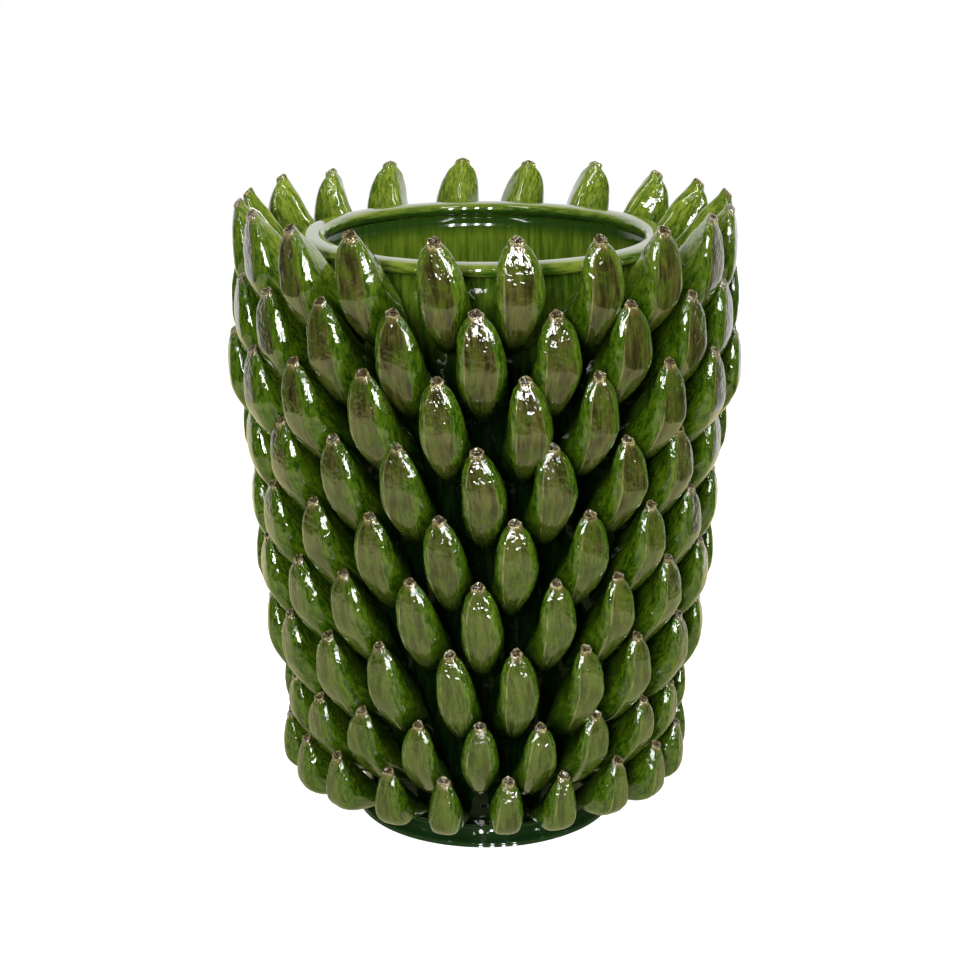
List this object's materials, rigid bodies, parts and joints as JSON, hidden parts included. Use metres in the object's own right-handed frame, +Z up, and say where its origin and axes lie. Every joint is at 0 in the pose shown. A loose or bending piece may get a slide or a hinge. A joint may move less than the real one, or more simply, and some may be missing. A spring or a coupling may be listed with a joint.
{
  "type": "banana vase",
  "caption": "Tall green-glazed clay vase with an open mouth and a foot ring, its wall covered by staggered rings of upright clay bananas.",
  "frame": {"origin": "on the table, at the middle of the foot ring's underside", "axes": "+Z up along the vase's axis, the pictured front towards -Y, +X to the right"},
  "size_m": [0.3138, 0.3129, 0.3912],
  "materials": {
    "banana_glaze": "glossy translucent green glaze, thin and yellow-brown on the ridges, dark in the hollows, brown blunt tips",
    "wall_glaze": "glossy dark green glaze, pooled almost black between the bananas",
    "inside_glaze": "glossy yellow-green glaze with upright brush streaks",
    "rim_glaze": "glossy glaze, thin and pale along the top of the roll",
    "foot_glaze": "thick glossy glaze, almost black-green"
  },
  "bodies": {
    "root": {"banana_1_01": "banana_glaze", "banana_1_02": "banana_glaze", "banana_1_03": "banana_glaze", "banana_1_04": "banana_glaze", "banana_1_05": "banana_glaze", "banana_1_06": "banana_glaze", "banana_1_07": "banana_glaze", "banana_1_08": "banana_glaze", "banana_1_09": "banana_glaze", "banana_1_10": "banana_glaze", "banana_1_11": "banana_glaze", "banana_1_12": "banana_glaze", "banana_1_13": "banana_glaze", "banana_1_14": "banana_glaze", "banana_1_15": "banana_glaze", "banana_1_16": "banana_glaze", "banana_1_17": "banana_glaze", "banana_1_18": "banana_glaze", "banana_1_19": "banana_glaze", "banana_1_20": "banana_glaze", "banana_2_01": "banana_glaze", "banana_2_02": "banana_glaze", "banana_2_03": "banana_glaze", "banana_2_04": "banana_glaze", "banana_2_05": "banana_glaze", "banana_2_06": "banana_glaze", "banana_2_07": "banana_glaze", "banana_2_08": "banana_glaze", "banana_2_09": "banana_glaze", "banana_2_10": "banana_glaze", "banana_2_11": "banana_glaze", "banana_2_12": "banana_glaze", "banana_2_13": "banana_glaze", "banana_2_14": "banana_glaze", "banana_2_15": "banana_glaze", "banana_2_16": "banana_glaze", "banana_2_17": "banana_glaze", "banana_2_18": "banana_glaze", "banana_2_19": "banana_glaze", "banana_2_20": "banana_glaze", "banana_ring_3": "banana_glaze", "banana_ring_4": "banana_glaze", "banana_ring_5": "banana_glaze", "banana_ring_6": "banana_glaze", "banana_ring_7": "banana_glaze", "banana_ring_8": "banana_glaze", "banana_ring_9": "banana_glaze", "base_slab": "inside_glaze", "foot_ring": "foot_glaze", "rim_coil": "rim_glaze", "slip_bed_1": "wall_glaze", "slip_bed_2": "wall_glaze", "vessel_wall": "inside_glaze"}
  },
  "joints": []
}
